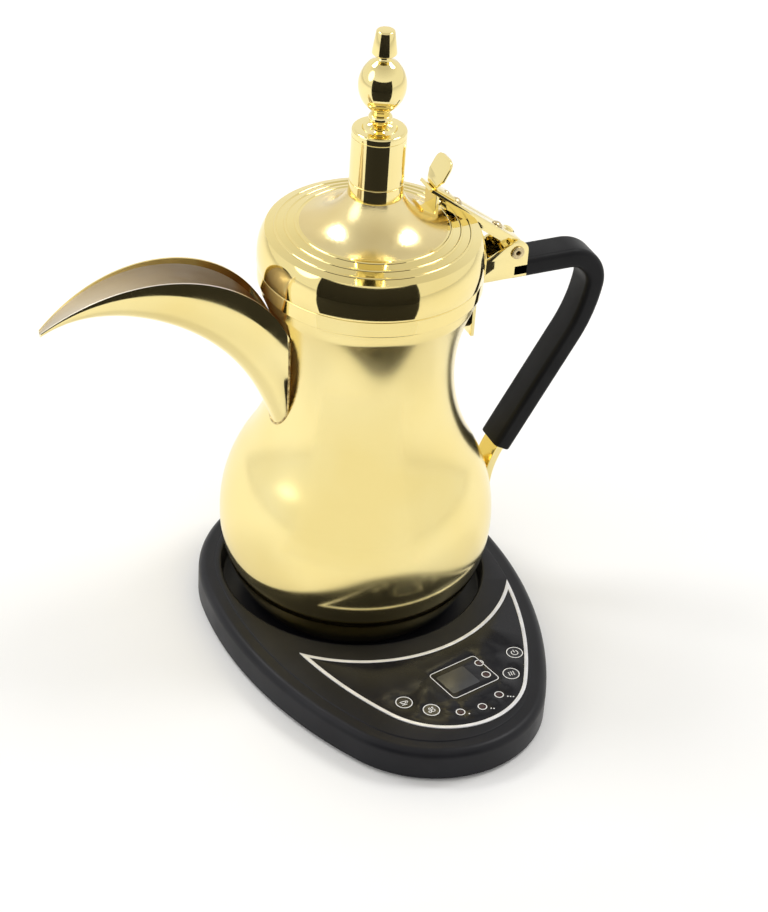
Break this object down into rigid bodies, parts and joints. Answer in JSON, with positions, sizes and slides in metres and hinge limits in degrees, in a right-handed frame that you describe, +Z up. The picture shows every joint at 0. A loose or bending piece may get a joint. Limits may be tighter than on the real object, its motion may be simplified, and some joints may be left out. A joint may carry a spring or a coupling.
{
  "type": "dallah coffee pot",
  "caption": "Electric dallah: a gold coffee pot with a long curved spout, hinged lid and strap handle, standing in the round well of a power base with a button panel.",
  "frame": {"origin": "on the table, on the axis of the pot and of the base's round well", "axes": "+Z up along the pot's axis, -X towards the spout, +X towards the handle, -Y towards the control panel"},
  "size_m": [0.2678, 0.2225, 0.2946],
  "materials": {
    "gold": "polished gold plate on steel",
    "black_plastic": "fine satin",
    "rubber": "soft satin",
    "steel": "brushed",
    "panel_gloss": "gloss",
    "silver": "satin silver",
    "key_black": "gloss with white ring",
    "brass": "turned",
    "led_red": "clear tinted",
    "circuit": "lacquered",
    "white": "plain"
  },
  "bodies": {
    "base": {"base_shell": "black_plastic", "base_cover": "black_plastic", "anti_slip_ring": "rubber", "front_pads": "rubber", "cover_screws": "steel", "panel_overlay": "panel_gloss", "panel_border": "silver", "display_lens": "panel_gloss", "display_module": "white", "status_leds": "led_red", "control_board": "circuit", "tact_switches": "steel", "power_board": "circuit", "base_connector": "black_plastic", "contact_rings": "brass", "cord_gland": "rubber"},
    "core": {"connector_post": "brass"},
    "pot": {"pot_shell": "gold", "collar_band": "gold", "spout": "gold", "spout_strainer": "steel", "pot_floor": "steel", "heating_element": "steel", "thermostat": "white", "foot_seal": "rubber", "foot_cup": "black_plastic", "pot_connector": "black_plastic", "hinge_bracket": "gold", "bracket_rivet": "steel", "bracket_spacer": "black_plastic", "hinge_pin": "brass", "handle_strap": "gold", "handle_rivet": "steel", "grip_sleeve": "rubber"},
    "lid": {"lid_shell": "gold", "lid_liner": "steel", "lid_gasket": "rubber", "column_tube": "gold", "column_cap": "gold", "finial": "gold", "lid_strap": "gold", "strap_foot": "gold", "thumb_plate": "gold", "strap_rivets": "brass", "thumb_rivet": "brass"},
    "key_on": {"button_on": "key_black"},
    "key_warm": {"button_warm": "key_black"},
    "key_boil": {"button_boil": "key_black"},
    "key_brew": {"button_brew": "key_black"}
  },
  "joints": [
    {"name": "pot_swivel", "type": "hinge", "parent": "base", "child": "core", "pos_m": [0, 0, 0], "axis": [0, 0, 1], "continuous": true},
    {"name": "pot_lift", "type": "slide", "parent": "core", "child": "pot", "axis": [0, 0, 1], "range_m": [0, 0.12]},
    {"name": "lid_hinge", "type": "hinge", "parent": "pot", "child": "lid", "pos_m": [0.0685, 0, 0.1795], "axis": [0, 1, 0], "range_deg": [0, 90]},
    {"name": "button_on_press", "type": "slide", "parent": "base", "child": "key_on", "axis": [0, 0, -1], "range_m": [0, 0.0005], "stiffness_N_per_m": 1500},
    {"name": "button_warm_press", "type": "slide", "parent": "base", "child": "key_warm", "axis": [0, 0, -1], "range_m": [0, 0.0005], "stiffness_N_per_m": 1500},
    {"name": "button_boil_press", "type": "slide", "parent": "base", "child": "key_boil", "axis": [0, 0, -1], "range_m": [0, 0.0005], "stiffness_N_per_m": 1500},
    {"name": "button_brew_press", "type": "slide", "parent": "base", "child": "key_brew", "axis": [0, 0, -1], "range_m": [0, 0.0005], "stiffness_N_per_m": 1500}
  ]
}
